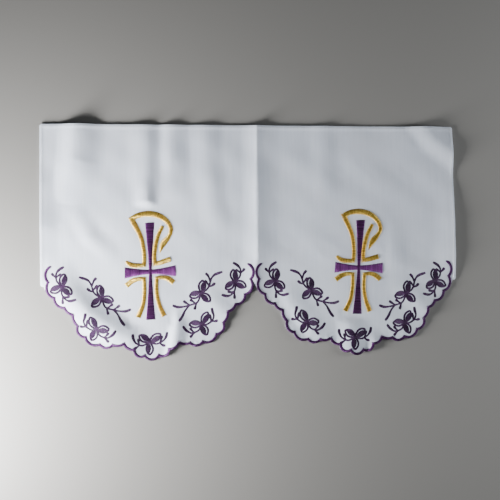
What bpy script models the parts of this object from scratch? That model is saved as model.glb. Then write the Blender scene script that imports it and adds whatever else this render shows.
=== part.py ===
"""Embroidered altar cloth: a cut length with two scalloped lobes, lying face up on a flat surface.

One sheet carries the raised edging of each lobe and, on each lobe, the emblem's purple cross and its
four gold strokes. Lengths are metres. +X runs along the hem, +Y from the lobes to the back hem and
+Z up. The origin lies on the surface, under the middle of the cloth.
"""

import math

import bpy
import numpy as np
from mathutils import Vector
from mathutils.geometry import delaunay_2d_cdt

# Driving sizes of the cloth.
LOBE_PITCH = 0.380
SIDE_MARGIN = 0.196
BACK_DEPTH = 0.256
CLOTH_THICKNESS = 0.0014
HEM_WIDTH = 0.0055
HEM_SLOPE = 0.001
HEM_RISE = 0.0005
NOTCH_DEPTH = 0.037
CORNER_CUT = 0.003

# Raised satin-stitch edging along the scallops. Its profile is rows of the place across it and the
# rise there, as shares of its width and height.
EDGING_WIDTH = 0.0040
EDGING_HEIGHT = 0.0011
EDGING_PROFILE = ((-0.5, 0.35), (-0.28, 1.0), (0.28, 1.0), (0.5, 0.35))
EDGE_BEYOND_LINE = 0.0030
LINE_UNDER_EDGING = 0.0031
ARC_STEPS = 4

# Embroidery lies this far above the cloth, which keeps the pieces apart.
SEAT_GAP = 0.0003
EMBROIDERY_HEIGHT = 0.0010

# Spacing of the points that the sheet is faceted on.
FACET = 0.0175
GRID_CLEARANCE = 0.55
HEM_STEP = 0.022
CREASE_STEP = 0.019
CREASE_FLANKS = (0.009, 0.024)
CREASE_ABOVE_NOTCH = 0.004
FLANKS_ABOVE_SHOULDER = 0.010
HOOK_CLEARANCE = 0.0025

# Cusps between scallops, from the tip outwards: across the lobe, below the shoulder line, and how far
# the scallop that leads to the cusp from the one before bulges, as a share of its chord.
CUSPS = (
    (0.0124, 0.1635, 0.33),
    (0.0300, 0.1528, 0.36),
    (0.0490, 0.1406, 0.19),
    (0.0695, 0.1426, 0.15),
    (0.0920, 0.1413, 0.28),
    (0.1170, 0.1282, 0.26),
    (0.1295, 0.1082, 0.30),
    (0.1380, 0.0873, 0.14),
    (0.1530, 0.0746, 0.16),
    (0.1705, 0.0573, 0.25),
    (0.1812, 0.0295, 0.27),
    (0.1765, 0.0015, 0.27),
)

# Emblem, measured from the crossing of the cross. The arms rise a little to the right, as the cloth
# has pulled on the bias.
SHAFT_ABOVE = 0.0893
SHAFT_BELOW = 0.0865
SHAFT_WAIST = 0.0028
SHAFT_END = 0.0087
ARM_LENGTH = 0.0456
ARM_WAIST = 0.0041
ARM_END = 0.0103
ARM_RISE = 0.030
FLARE_POWER = 1.5
FLARE_STEPS = 5
STROKE_STEPS = 3
MITRE_LIMIT = 0.5

# Where each emblem sits: lobe, how far its crossing lies right of the lobe's axis and below the
# shoulder line, and turn in degrees.
EMBLEM_PLACES = {
    "left": {"lobe": -1, "across": -0.0012, "drop": 0.0134, "turn": 0.1},
    "right": {"lobe": 1, "across": 0.0073, "drop": 0.0114, "turn": -3.4},
}

# Gold strokes, each as smooth runs that meet at sharp corners. A run is rows of a point's place from
# the crossing and the stroke's half width there, and starts where the run before it ends.
GOLD_STROKES = {
    "loop": (
        (
            (-0.0435, 0.0212, 0.0020),
            (-0.0375, 0.0160, 0.0038),
            (-0.0290, 0.0128, 0.0045),
            (-0.0114, 0.0123, 0.0035),
        ),
        (
            (-0.0105, 0.0306, 0.0037),
            (-0.0161, 0.0634, 0.0039),
            (-0.0325, 0.0977, 0.0048),
        ),
        (
            (-0.0200, 0.1039, 0.0048),
            (-0.0020, 0.1059, 0.0052),
            (0.0170, 0.1016, 0.0049),
            (0.0320, 0.0904, 0.0041),
            (0.0386, 0.0757, 0.0037),
            (0.0345, 0.0634, 0.0038),
            (0.0262, 0.0531, 0.0055),
            (0.0215, 0.0453, 0.0038),
            (0.0178, 0.0334, 0.0006),
        ),
    ),
    "upper": (
        (
            (0.0228, 0.0821, 0.0032),
            (0.0130, 0.0600, 0.0038),
            (0.0080, 0.0335, 0.0037),
            (0.0083, 0.0137, 0.0035),
        ),
        (
            (0.0215, 0.0170, 0.0046),
            (0.0365, 0.0215, 0.0048),
        ),
    ),
    "lower_left": (
        (
            (-0.0432, -0.0231, 0.0048),
            (-0.0330, -0.0154, 0.0046),
            (-0.0220, -0.0122, 0.0038),
            (-0.0113, -0.0118, 0.0032),
        ),
        (
            (-0.0110, -0.0368, 0.0035),
            (-0.0139, -0.0593, 0.0037),
            (-0.0228, -0.0814, 0.0046),
        ),
    ),
    "lower_right": (
        (
            (0.0420, -0.0213, 0.0046),
            (0.0325, -0.0140, 0.0046),
            (0.0220, -0.0110, 0.0038),
            (0.0113, -0.0118, 0.0032),
        ),
        (
            (0.0110, -0.0368, 0.0035),
            (0.0152, -0.0598, 0.0037),
            (0.0239, -0.0813, 0.0046),
        ),
    ),
}

# The cloth lies flat under each emblem, and the folds fade out towards it. Rows of half width, and
# of how far below and above the crossing the flat cloth reaches at that width.
FLAT_ZONES = (
    (0.0485, 0.0310, 0.1140),
    (0.0345, 0.0885, -0.0310),
)
FLAT_FADE = 0.016
ZONE_STEP = 0.017
FOLD_SOFTNESS = 1.2

# Folds: crest points as rows of place and height, the flank's width to the left and right of the
# crest as it runs, and whether the crest is a sharp crease.
FOLDS = {
    "middle_crease": {
        "crest": ((0.0072, 0.230, 0.0050), (0.0068, 0.130, 0.0054), (0.0064, 0.090, 0.0066),
                  (0.006, 0.055, 0.0054), (0.0055, -0.030, 0.0052), (0.0008, -0.052, 0.0050),
                  (0.000, -0.095, 0.0044)),
        "left": 0.050, "right": 0.032, "sharp": True,
    },
    "back_left_roll": {
        "crest": ((-0.318, 0.235, 0.0080), (-0.323, 0.150, 0.0080), (-0.345, 0.070, 0.0)),
        "left": 0.058, "right": 0.040, "sharp": False,
    },
    "left_of_trough": {
        "crest": ((-0.197, 0.235, 0.0030), (-0.197, 0.150, 0.0032), (-0.197, 0.105, 0.0028),
                  (-0.197, 0.068, 0.0)),
        "left": 0.028, "right": 0.042, "sharp": False,
    },
    "trough_end": {
        "crest": ((-0.197, 0.126, 0.0), (-0.197, 0.096, 0.0044), (-0.196, 0.068, 0.0060)),
        "left": 0.024, "right": 0.032, "sharp": False,
    },
    "right_of_trough": {
        "crest": ((-0.151, 0.235, 0.0030), (-0.151, 0.150, 0.0028), (-0.152, 0.075, 0.0)),
        "left": 0.040, "right": 0.024, "sharp": False,
    },
    "shoulder_swell": {
        "crest": ((-0.084, 0.235, 0.0022), (-0.087, 0.160, 0.0026), (-0.078, 0.080, 0.0026),
                  (-0.058, -0.015, 0.0)),
        "left": 0.038, "right": 0.038, "sharp": False,
    },
    "left_shoulder_swell": {
        "crest": ((-0.335, 0.075, 0.0), (-0.298, 0.010, 0.0028), (-0.248, -0.032, 0.0)),
        "left": 0.030, "right": 0.026, "sharp": False,
    },
    "left_lobe_roll": {
        "crest": ((-0.366, -0.040, 0.0), (-0.340, -0.088, 0.0068), (-0.302, -0.131, 0.0086),
                  (-0.256, -0.161, 0.0086), (-0.228, -0.178, 0.0056), (-0.198, -0.190, 0.0)),
        "left": 0.043, "right": 0.046, "sharp": False,
    },
    "left_lobe_flute": {
        "crest": ((-0.122, -0.074, 0.0), (-0.083, -0.106, 0.0022), (-0.035, -0.148, 0.0036)),
        "left": 0.034, "right": 0.032, "sharp": False,
    },
    "left_tip_flute": {
        "crest": ((-0.152, -0.118, 0.0), (-0.144, -0.155, 0.0042), (-0.154, -0.214, 0.0052)),
        "left": 0.026, "right": 0.020, "sharp": False,
    },
    "left_side_lift": {
        "crest": ((-0.392, 0.190, 0.0), (-0.390, 0.110, 0.0034), (-0.388, 0.030, 0.0052),
                  (-0.388, -0.060, 0.0)),
        "left": 0.042, "right": 0.030, "sharp": False,
    },
    "right_lobe_roll": {
        "crest": ((0.046, -0.066, 0.0), (0.068, -0.118, 0.0020), (0.108, -0.166, 0.0032),
                  (0.148, -0.188, 0.0)),
        "left": 0.040, "right": 0.022, "sharp": False,
    },
    "right_lobe_flute": {
        "crest": ((0.254, -0.070, 0.0), (0.295, -0.102, 0.0030), (0.345, -0.146, 0.0044)),
        "left": 0.036, "right": 0.032, "sharp": False,
    },
    "under_right_emblem": {
        "crest": ((0.172, -0.116, 0.0), (0.178, -0.156, 0.0032), (0.180, -0.205, 0.0052)),
        "left": 0.042, "right": 0.034, "sharp": False,
    },
    "right_tip_flute": {
        "crest": ((0.216, -0.168, 0.0), (0.226, -0.192, 0.0036), (0.223, -0.216, 0.0042)),
        "left": 0.020, "right": 0.018, "sharp": False,
    },
    "right_back_swell": {
        "crest": ((0.134, 0.235, 0.0018), (0.135, 0.150, 0.0020), (0.138, 0.060, 0.0)),
        "left": 0.036, "right": 0.038, "sharp": False,
    },
    "right_emblem_swell": {
        "crest": ((0.262, 0.045, 0.0), (0.270, -0.008, 0.0013), (0.272, -0.045, 0.0012),
                  (0.266, -0.078, 0.0)),
        "left": 0.032, "right": 0.040, "sharp": False,
    },
    "right_corner_roll": {
        "crest": ((0.318, 0.235, 0.0060), (0.350, 0.192, 0.0066), (0.404, 0.150, 0.0058)),
        "left": 0.040, "right": 0.038, "sharp": False,
    },
    "right_side_lift": {
        "crest": ((0.392, 0.110, 0.0), (0.390, 0.040, 0.0048), (0.388, -0.020, 0.0044),
                  (0.388, -0.080, 0.0)),
        "left": 0.030, "right": 0.050, "sharp": False,
    },
}

COLOURS = {
    "cloth": ((0.86, 0.87, 0.90), 0.55),
    "purple": ((0.11, 0.030, 0.17), 0.38),
    "gold": ((0.62, 0.37, 0.08), 0.34),
}


def clear_scene():
    """Removes whatever the scene holds."""
    for thing in list(bpy.data.objects):
        bpy.data.objects.remove(thing, do_unlink=True)


def material(name):
    """A Principled material with the finish's colour and roughness."""
    colour, roughness = COLOURS[name]
    made = bpy.data.materials.get(name) or bpy.data.materials.new(name)
    made.use_nodes = True
    shader = made.node_tree.nodes["Principled BSDF"]
    shader.inputs["Base Color"].default_value = (*colour, 1.0)
    shader.inputs["Roughness"].default_value = roughness
    shader.inputs["Metallic"].default_value = 0.0
    return made


def arc(start, end, bulge, steps):
    """Points from start to end, the end left out, on the arc that bulges to the right of the chord."""
    chord = end - start
    half = chord.length / 2
    height = bulge * chord.length
    radius = (half * half + height * height) / (2 * height)
    outward = Vector((chord.y, -chord.x)).normalized()
    centre = (start + end) / 2 + outward * (height - radius)
    first = math.atan2(start.y - centre.y, start.x - centre.x)
    last = math.atan2(end.y - centre.y, end.x - centre.x)
    while last < first:
        last += 2 * math.pi
    angles = [first + (last - first) * step / steps for step in range(steps)]
    return [centre + radius * Vector((math.cos(a), math.sin(a))) for a in angles]


def lobe_line():
    """The middle of one lobe's edging, from its left hook round the tip to its right hook, from the
    lobe's axis and the shoulder line."""
    right = [Vector((across, -below)) for across, below, _ in CUSPS]
    left = [Vector((-p.x, p.y)) for p in reversed(right)]
    corners = left + right
    bulges = [row[2] for row in reversed(CUSPS)][:-1] + [row[2] for row in CUSPS]
    points = []
    for start, end, bulge in zip(corners, corners[1:], bulges):
        points += arc(start, end, bulge, ARC_STEPS)
    return points + [corners[-1]]


def offset(points, distances):
    """The line moved sideways, to its right where the distance is positive, with mitred corners."""
    moved = []
    for i, (point, distance) in enumerate(zip(points, np.broadcast_to(distances, len(points)))):
        before = (point - points[i - 1]).normalized() if i else None
        after = (points[i + 1] - point).normalized() if i + 1 < len(points) else None
        sides = [Vector((d.y, -d.x)) for d in (before, after) if d is not None]
        middle = sum(sides, Vector((0, 0))).normalized()
        moved.append(point + middle * (distance / max(middle.dot(sides[0]), MITRE_LIMIT)))
    return moved


def tip_depth():
    """How far below the shoulder line the sheet's edge reaches at the tip of a lobe."""
    across, below, bulge = CUSPS[0]
    return below + 2 * across * bulge + EDGE_BEYOND_LINE


SHOULDER_Y = (tip_depth() - BACK_DEPTH) / 2
BACK_Y = SHOULDER_Y + BACK_DEPTH
SIDE_X = LOBE_PITCH / 2 + SIDE_MARGIN


def on_cloth(points, lobe):
    """Points measured from a lobe's axis and shoulder, moved to that lobe on the cloth."""
    return [Vector((p.x + lobe * LOBE_PITCH / 2, p.y + SHOULDER_Y)) for p in points]


def scallop_run():
    """Where on the line of an edging the sheet's edge leaves it, towards the left and right notch."""
    half = ARC_STEPS + ARC_STEPS // 2
    return half, (2 * len(CUSPS) - 1) * ARC_STEPS - half


def sheet_outline():
    """The edge of the sheet, anticlockwise from the left side's lower corner."""
    line = lobe_line()
    edge = offset(line, EDGE_BEYOND_LINE)
    first, last = scallop_run()
    notch = SHOULDER_Y - NOTCH_DEPTH
    scallops = edge[first:last + 1]
    corner = [
        Vector((-SIDE_X, notch + CORNER_CUT)),
        Vector((-SIDE_X + CORNER_CUT / 2, notch + CORNER_CUT / 4)),
        Vector((-SIDE_X + 2 * CORNER_CUT, notch - CORNER_CUT / 4)),
    ]
    lower = corner + on_cloth(scallops, -1) + [Vector((0.0, notch))]
    lower += on_cloth(scallops, 1) + [Vector((-p.x, p.y)) for p in reversed(corner)]
    return lower + back_corner(1) + back_corner(-1)


def back_corner(side):
    """The slightly blunted back corner on the right (1) or the left (-1), anticlockwise."""
    along = Vector((side * (SIDE_X - CORNER_CUT), BACK_Y))
    down = Vector((side * SIDE_X, BACK_Y - CORNER_CUT))
    return [down, along] if side > 0 else [along, down]


def divided(start, end, step):
    """Points from start to end, both left out, about a step apart."""
    count = max(1, round((end - start).length / step))
    return [start.lerp(end, i / count) for i in range(1, count)]


def with_hem_points(outline):
    """The outline with the long straight sides divided."""
    points = []
    for start, end in zip(outline, outline[1:] + outline[:1]):
        points.append(start)
        if (end - start).length > 2 * HEM_STEP:
            points += divided(start, end, HEM_STEP)
    return points


def inside(points, outline):
    """Whether each point lies inside a closed outline."""
    points = np.array([(p[0], p[1]) for p in points])
    found = np.zeros(len(points), bool)
    for a, b in zip(outline, outline[1:] + outline[:1]):
        if a.y == b.y:
            continue
        between = (a.y > points[:, 1]) != (b.y > points[:, 1])
        crossing = a.x + (points[:, 1] - a.y) / (b.y - a.y) * (b.x - a.x)
        found ^= between & (points[:, 0] < crossing)
    return found


def hem_lines():
    """The two lines along each side and the back where the hem's fold ends and the plain sheet
    begins."""
    bottom = SHOULDER_Y - NOTCH_DEPTH + CORNER_CUT
    lines = []
    for inset in (HEM_WIDTH, HEM_WIDTH + HEM_SLOPE):
        across, back = SIDE_X - inset, BACK_Y - inset
        corners = [Vector((-across, bottom)), Vector((-across, back)), Vector((across, back)),
                   Vector((across, bottom))]
        line = []
        for start, end in zip(corners, corners[1:]):
            line += [start] + divided(start, end, HEM_STEP)
        lines.append(line + [corners[-1]])
    return lines


def edging_guides():
    """Lines just clear of each edging's inner side, so that the sheet's facets follow it."""
    line = lobe_line()
    inner = offset(line, -LINE_UNDER_EDGING)
    return [on_cloth(inner, lobe) for lobe in (-1, 1)]


def hook_points():
    """Points just clear of the outer side of each edging's hooks, where the sheet runs on past it."""
    line = lobe_line()
    first, last = scallop_run()
    outer = offset(line, LINE_UNDER_EDGING)
    points = []
    for lobe in (-1, 1):
        points += on_cloth(outer[:first - 1] + outer[last + 2:], lobe)
    across = SIDE_X - HEM_WIDTH - 2 * HEM_SLOPE
    return [p for p in points if HOOK_CLEARANCE < abs(p.x) < across]


def crease_guides():
    """The middle crease's crest and lines along its flanks, from the back edge to the notch."""
    crest = [Vector(row[:2]) for row in FOLDS["middle_crease"]["crest"]]
    crest[0] = Vector((crest[0].x, BACK_Y - HEM_WIDTH - 2 * HEM_SLOPE))
    crest[-1] = Vector((0.0, SHOULDER_Y - NOTCH_DEPTH + CREASE_ABOVE_NOTCH))
    dense = []
    for start, end in zip(crest, crest[1:]):
        dense += [start] + divided(start, end, CREASE_STEP)
    dense.append(crest[-1])
    guides = [dense]
    for flank in CREASE_FLANKS:
        for side in (-flank, flank):
            upper = [p + Vector((side, 0)) for p in dense if p.y > SHOULDER_Y + FLANKS_ABOVE_SHOULDER]
            guides.append(upper)
    return guides


def facet_grid(outline, taken):
    """Points of an even triangular grid that lie inside the outline and clear of the points taken."""
    taken = np.array(taken)
    row_step = FACET * math.sqrt(3) / 2
    rows = int(BACK_Y / row_step) + 1
    columns = int(SIDE_X / FACET) + 1
    grid = [
        Vector(((column + (row % 2) / 2) * FACET, row * row_step))
        for row in range(-rows, rows + 1) for column in range(-columns, columns + 1)
    ]
    found = inside(grid, outline)
    return [
        p for p, within in zip(grid, found)
        if within and np.abs(taken - np.array(p)).max(axis=1).min() > GRID_CLEARANCE * FACET
    ]


def fold_profile(share, sharp):
    """Height at a share of the way from a fold's crest to its foot, as a share of the crest's."""
    share = np.clip(share, 0.0, 1.0)
    if sharp:
        return (1 - share) ** 2
    return (0.5 + 0.5 * np.cos(math.pi * share)) ** FOLD_SOFTNESS


def fold_height(points, fold):
    """Height of one fold at each point."""
    crest = np.array(fold["crest"])
    nearest = np.full(len(points), np.inf)
    share = np.ones(len(points))
    height = np.zeros(len(points))
    for start, end in zip(crest, crest[1:]):
        run = end[:2] - start[:2]
        along = np.clip((points - start[:2]) @ run / (run @ run), 0, 1)
        away = points - (start[:2] + along[:, None] * run)
        distance = np.hypot(away[:, 0], away[:, 1])
        to_left = run[0] * away[:, 1] - run[1] * away[:, 0] > 0
        flank = np.where(to_left, fold["left"], fold["right"])
        closer = distance < nearest
        nearest = np.where(closer, distance, nearest)
        share = np.where(closer, distance / flank, share)
        height = np.where(closer, start[2] + along * (end[2] - start[2]), height)
    return height * fold_profile(share, fold["sharp"])


def emblem_mask(points):
    """0 on the flat cloth around each emblem, rising to 1 where the folds are full."""
    mask = np.ones(len(points))
    for place in EMBLEM_PLACES.values():
        across, along = (points - crossing(place)).T
        distance = np.full(len(points), np.inf)
        for half_width, below, above in FLAT_ZONES:
            beyond_x = np.maximum(np.abs(across) - half_width, 0)
            beyond_y = np.maximum(np.maximum(-below - along, along - above), 0)
            distance = np.minimum(distance, np.hypot(beyond_x, beyond_y))
        share = np.clip(distance / FLAT_FADE, 0, 1)
        mask *= share * share * (3 - 2 * share)
    return mask


def crossing(place):
    """Where an emblem's cross has its crossing on the cloth."""
    return np.array((place["lobe"] * LOBE_PITCH / 2 + place["across"], SHOULDER_Y - place["drop"]))


def flat_outlines():
    """The edge of the flat cloth under each emblem, anticlockwise."""
    outlines = []
    for place in EMBLEM_PLACES.values():
        (wide, waist, top), (narrow, bottom, _) = FLAT_ZONES
        half = [(narrow, -bottom), (narrow, -waist), (wide, -waist), (wide, top)]
        corners = half + [(-x, y) for x, y in reversed(half)]
        corners = [Vector(crossing(place)) + Vector(corner) for corner in corners]
        outline = []
        for start, end in zip(corners, corners[1:] + corners[:1]):
            outline += [start] + divided(start, end, ZONE_STEP)
        outlines.append(outline)
    return outlines


def underside(points):
    """Height of the sheet's underside above the surface it lies on."""
    points = np.array([(p[0], p[1]) for p in points], float)
    squares = sum(fold_height(points, fold) ** 2 for fold in FOLDS.values())
    return np.sqrt(squares) * emblem_mask(points)


def hem_rise(points):
    """How much the doubled hem thickens the sheet along the sides and the back."""
    points = np.array([(p[0], p[1]) for p in points], float)
    inset = np.minimum(SIDE_X - np.abs(points[:, 0]), BACK_Y - points[:, 1])
    return HEM_RISE * np.clip((HEM_WIDTH + HEM_SLOPE - inset) / HEM_SLOPE, 0, 1)


def node(name, vertices, faces, finish):
    """An object of that name with the finish's material."""
    mesh = bpy.data.meshes.new(name)
    mesh.from_pydata([tuple(v) for v in vertices], [], faces)
    mesh.materials.append(material(finish))
    made = bpy.data.objects.new(name, mesh)
    bpy.context.scene.collection.objects.link(made)
    return made


def chain(start, count, closed):
    """Index pairs that join a run of points."""
    pairs = [(start + i, start + i + 1) for i in range(count - 1)]
    return pairs + [(start + count - 1, start)] if closed else pairs


def sheet_facets():
    """The sheet seen flat: its points and its triangles."""
    outline = with_hem_points(sheet_outline())
    closed = [outline] + flat_outlines()
    loops = closed + hem_lines() + edging_guides() + crease_guides()
    points = [p for loop in loops for p in loop] + hook_points()
    edges, start = [], 0
    for number, loop in enumerate(loops):
        edges += chain(start, len(loop), number < len(closed))
        start += len(loop)
    points += facet_grid(outline, points)
    flat, _, faces, *_ = delaunay_2d_cdt(points, edges, [], 0, 1e-6, False)
    middles = [(flat[a] + flat[b] + flat[c]) / 3 for a, b, c in faces]
    return flat, [tuple(f) for f, kept in zip(faces, inside(middles, outline)) if kept]


def make_cloth():
    """The sheet, as one closed solid on its folds, with its scalloped edge and its hems."""
    flat, faces = sheet_facets()
    low = underside(flat)
    high = low + CLOTH_THICKNESS + hem_rise(flat)
    vertices = [(p.x, p.y, z) for p, z in zip(flat, high)]
    vertices += [(p.x, p.y, z) for p, z in zip(flat, low)]
    count = len(flat)
    solid = faces + [tuple(count + i for i in reversed(face)) for face in faces]
    used = {(face[i], face[(i + 1) % 3]) for face in faces for i in range(3)}
    rim = [(a, b) for a, b in used if (b, a) not in used]
    solid += [(b, a, count + a, count + b) for a, b in sorted(rim)]
    return node("cloth", vertices, solid, "cloth")


def make_edging(side, lobe):
    """One lobe's raised edging: a strip with a rounded top that follows the scallops and both hooks."""
    line = lobe_line()
    rows = [on_cloth(offset(line, across * EDGING_WIDTH), lobe) for across, _ in EDGING_PROFILE]
    seats = edging_seats(line, lobe)
    vertices = []
    for i in range(len(line)):
        for k, (_, rise) in enumerate(EDGING_PROFILE):
            vertices.append((rows[k][i].x, rows[k][i].y, seats[k][i] + rise * EDGING_HEIGHT))
        vertices += [(rows[k][i].x, rows[k][i].y, seats[k][i]) for k in (-1, 0)]
    faces = tube_faces(len(line), len(EDGING_PROFILE) + 2)
    return node(f"edging_{side}", vertices, split_quads(vertices, faces), "purple")


def edging_seats(line, lobe):
    """Height of the edging's underside along each row of its profile. It follows the sheet's facets,
    which run straight across from the guide inside the edging to the sheet's edge."""
    inner = underside(on_cloth(offset(line, -LINE_UNDER_EDGING), lobe))
    outer = underside(on_cloth(offset(line, EDGE_BEYOND_LINE), lobe))
    span = LINE_UNDER_EDGING + EDGE_BEYOND_LINE
    shares = [(across * EDGING_WIDTH + LINE_UNDER_EDGING) / span for across, _ in EDGING_PROFILE]
    return [inner + (outer - inner) * share + CLOTH_THICKNESS + SEAT_GAP for share in shares]


def tube_faces(rings, sides):
    """Faces of a closed tube of that many rings, with both ends capped."""
    faces = []
    for ring in range(rings - 1):
        for k in range(sides):
            a, b = ring * sides + k, ring * sides + (k + 1) % sides
            faces.append((a, b, b + sides, a + sides))
    last = (rings - 1) * sides
    return faces + [tuple(reversed(range(sides))), tuple(last + k for k in range(sides))]


def split_quads(vertices, faces):
    """The faces with every quad split along its shorter diagonal, as warped quads could be split
    either way."""
    split = []
    for face in faces:
        if len(face) != 4:
            split.append(face)
            continue
        a, b, c, d = face
        if math.dist(vertices[a], vertices[c]) <= math.dist(vertices[b], vertices[d]):
            split += [(a, b, c), (a, c, d)]
        else:
            split += [(b, c, d), (b, d, a)]
    return split


def smooth_line(rows, steps):
    """A smooth curve through the rows of a table, each column interpolated alike."""
    rows = [np.array(row) for row in rows]
    padded = [2 * rows[0] - rows[1]] + rows + [2 * rows[-1] - rows[-2]]
    found = []
    for p0, p1, p2, p3 in zip(padded, padded[1:], padded[2:], padded[3:]):
        for step in range(steps):
            t = step / steps
            found.append(0.5 * (2 * p1 + (p2 - p0) * t + (2 * p0 - 5 * p1 + 4 * p2 - p3) * t * t
                                + (3 * p1 - p0 - 3 * p2 + p3) * t ** 3))
    return found + [rows[-1]]


def placed(points, place):
    """Points measured from an emblem's crossing, turned and moved to their lobe."""
    turn = math.radians(place["turn"])
    moved = []
    for p in points:
        x, y = p[0], p[1] + ARM_RISE * p[0]
        moved.append(Vector((
            x * math.cos(turn) - y * math.sin(turn) + place["across"],
            x * math.sin(turn) + y * math.cos(turn) - place["drop"],
        )))
    return on_cloth(moved, place["lobe"])


def flare(length, waist, end):
    """Rows of distance from the crossing and half width, along a flared limb of the cross."""
    rows = []
    for step in range(FLARE_STEPS + 1):
        share = step / FLARE_STEPS
        reach = waist + (length - waist) * share
        rows.append((reach, waist + (end - waist) * share ** FLARE_POWER))
    return rows


def cross_outline():
    """The flared cross, anticlockwise from its right arm."""
    arm = flare(ARM_LENGTH, ARM_WAIST, ARM_END)
    above = flare(SHAFT_ABOVE, SHAFT_WAIST, SHAFT_END)
    below = flare(SHAFT_BELOW, SHAFT_WAIST, SHAFT_END)
    outline = []
    for limb, quarter in ((arm, 0), (above, 1), (arm, 2), (below, 3)):
        turn = quarter * math.pi / 2
        sides = [(r, -w) for r, w in limb[1:]] + [(r, w) for r, w in reversed(limb[1:])]
        outline += [
            Vector((r * math.cos(turn) - w * math.sin(turn), r * math.sin(turn) + w * math.cos(turn)))
            for r, w in sides
        ]
        outline.append(Vector((
            math.copysign(SHAFT_WAIST, math.cos(turn + math.pi / 4)),
            math.copysign(ARM_WAIST, math.sin(turn + math.pi / 4)),
        )))
    return outline


def make_cross(side, place):
    """The emblem's purple cross, as one plate seated on the cloth."""
    outline = placed(cross_outline(), place)
    base = CLOTH_THICKNESS + SEAT_GAP
    vertices = [(p.x, p.y, base + EMBROIDERY_HEIGHT) for p in outline]
    vertices += [(p.x, p.y, base) for p in outline]
    count = len(outline)
    faces = [tuple(range(count)), tuple(count + i for i in reversed(range(count)))]
    for i in range(count):
        j = (i + 1) % count
        faces.append((j, i, count + i, count + j))
    return node(f"cross_{side}", vertices, faces, "purple")


def stroke_line(runs):
    """The rows of a gold stroke's runs, joined at their corners."""
    line, corner = [], ()
    for run in runs:
        line += smooth_line(corner + run, STROKE_STEPS)[len(corner):]
        corner = run[-1:]
    return line


def make_stroke(side, place, name, runs):
    """One gold stroke of an emblem: a strip that widens and narrows along its line."""
    line = stroke_line(runs)
    points = [Vector(row[:2]) for row in line]
    widths = np.array([row[2] for row in line])
    rails = [placed(offset(points, sign * widths), place) for sign in (-1, 1)]
    base = CLOTH_THICKNESS + SEAT_GAP
    vertices = []
    for a, b in zip(*rails):
        vertices += [(a.x, a.y, base), (a.x, a.y, base + EMBROIDERY_HEIGHT),
                     (b.x, b.y, base + EMBROIDERY_HEIGHT), (b.x, b.y, base)]
    return node(f"gold_{name}_{side}", vertices, tube_faces(len(line), 4), "gold")


def main():
    """Builds the cloth and everything that is stitched on it."""
    clear_scene()
    make_cloth()
    for side, place in EMBLEM_PLACES.items():
        make_edging(side, place["lobe"])
        make_cross(side, place)
        for name, runs in GOLD_STROKES.items():
            make_stroke(side, place, name, runs)


main()
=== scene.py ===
"""Looks of the embroidered altar cloth: its fine sheet, satin stitches, sprigs, hem stitching and light.

Lengths are metres, and millimetres in the rows of the tables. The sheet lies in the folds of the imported
model, and every thread lies on the sheet. A lobe's own places are measured from its axis and from the
shoulder line, where the edgings' hooks end.
"""

import logging
import math
from dataclasses import dataclass, field
from enum import Enum

import bpy
import numpy as np
from mathutils import Matrix, Vector
from mathutils.geometry import delaunay_2d_cdt
from mathutils.kdtree import KDTree


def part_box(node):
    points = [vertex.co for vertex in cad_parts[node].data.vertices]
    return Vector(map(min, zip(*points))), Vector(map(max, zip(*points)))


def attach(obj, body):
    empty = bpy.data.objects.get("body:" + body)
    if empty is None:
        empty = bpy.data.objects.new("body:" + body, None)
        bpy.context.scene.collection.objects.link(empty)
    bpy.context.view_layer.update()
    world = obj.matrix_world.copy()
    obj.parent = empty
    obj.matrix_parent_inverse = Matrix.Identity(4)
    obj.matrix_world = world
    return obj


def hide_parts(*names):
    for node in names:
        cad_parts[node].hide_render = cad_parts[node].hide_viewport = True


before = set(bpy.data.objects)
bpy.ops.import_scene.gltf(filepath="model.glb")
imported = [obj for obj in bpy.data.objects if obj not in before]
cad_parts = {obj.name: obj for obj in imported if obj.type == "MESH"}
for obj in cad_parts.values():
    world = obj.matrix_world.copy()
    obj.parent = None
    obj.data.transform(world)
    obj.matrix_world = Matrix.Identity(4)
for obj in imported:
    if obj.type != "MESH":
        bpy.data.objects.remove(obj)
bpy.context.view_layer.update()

LOG = logging.getLogger("altar_cloth")
# How steeply the flanks of a sharp crease and of a soft roll fall.
CREASE_POWER = 2
ROLL_POWER = 1.2
# Stretches on each scallop of the edging's line.
EDGING_STEPS = 14
# Points of the sheet closer than this are one point.
MERGE_DISTANCE = 1e-7
# Turns of a wave texture in one metre, at scale 1.
WAVE_TURNS = 20 / (2 * math.pi)
# Millimetres in a metre.
MM = 1000
Colour = tuple[float, float, float]
Place = tuple[float, float, float]
Rows = tuple[tuple[float, ...], ...]


class Side(Enum):
    """The two lobes, by the sign of their place along the cloth."""

    LEFT = -1
    RIGHT = 1

    @property
    def word(self) -> str:
        """The side's name as nodes spell it."""
        return self.name.lower()


def smooth_rows(rows: "Rows | np.ndarray", steps: int) -> np.ndarray:
    """Reads a smooth curve through the rows of a short table.

    Args:
        rows: Points, with any further columns beside the place.
        steps: Stretches read between two rows.

    Returns:
        The curve's rows, both ends among them.
    """
    table = np.array(rows, float)
    padded = np.vstack([2 * table[0] - table[1], table, 2 * table[-1] - table[-2]])
    share = (np.arange(steps) / steps)[:, None]
    found = []
    for p0, p1, p2, p3 in zip(padded, padded[1:], padded[2:], padded[3:]):
        found.append(0.5 * (
            2 * p1 + (p2 - p0) * share + (2 * p0 - 5 * p1 + 4 * p2 - p3) * share ** 2
            + (3 * p1 - p0 - 3 * p2 + p3) * share ** 3
        ))
    return np.vstack(found + [table[-1:]])


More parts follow.
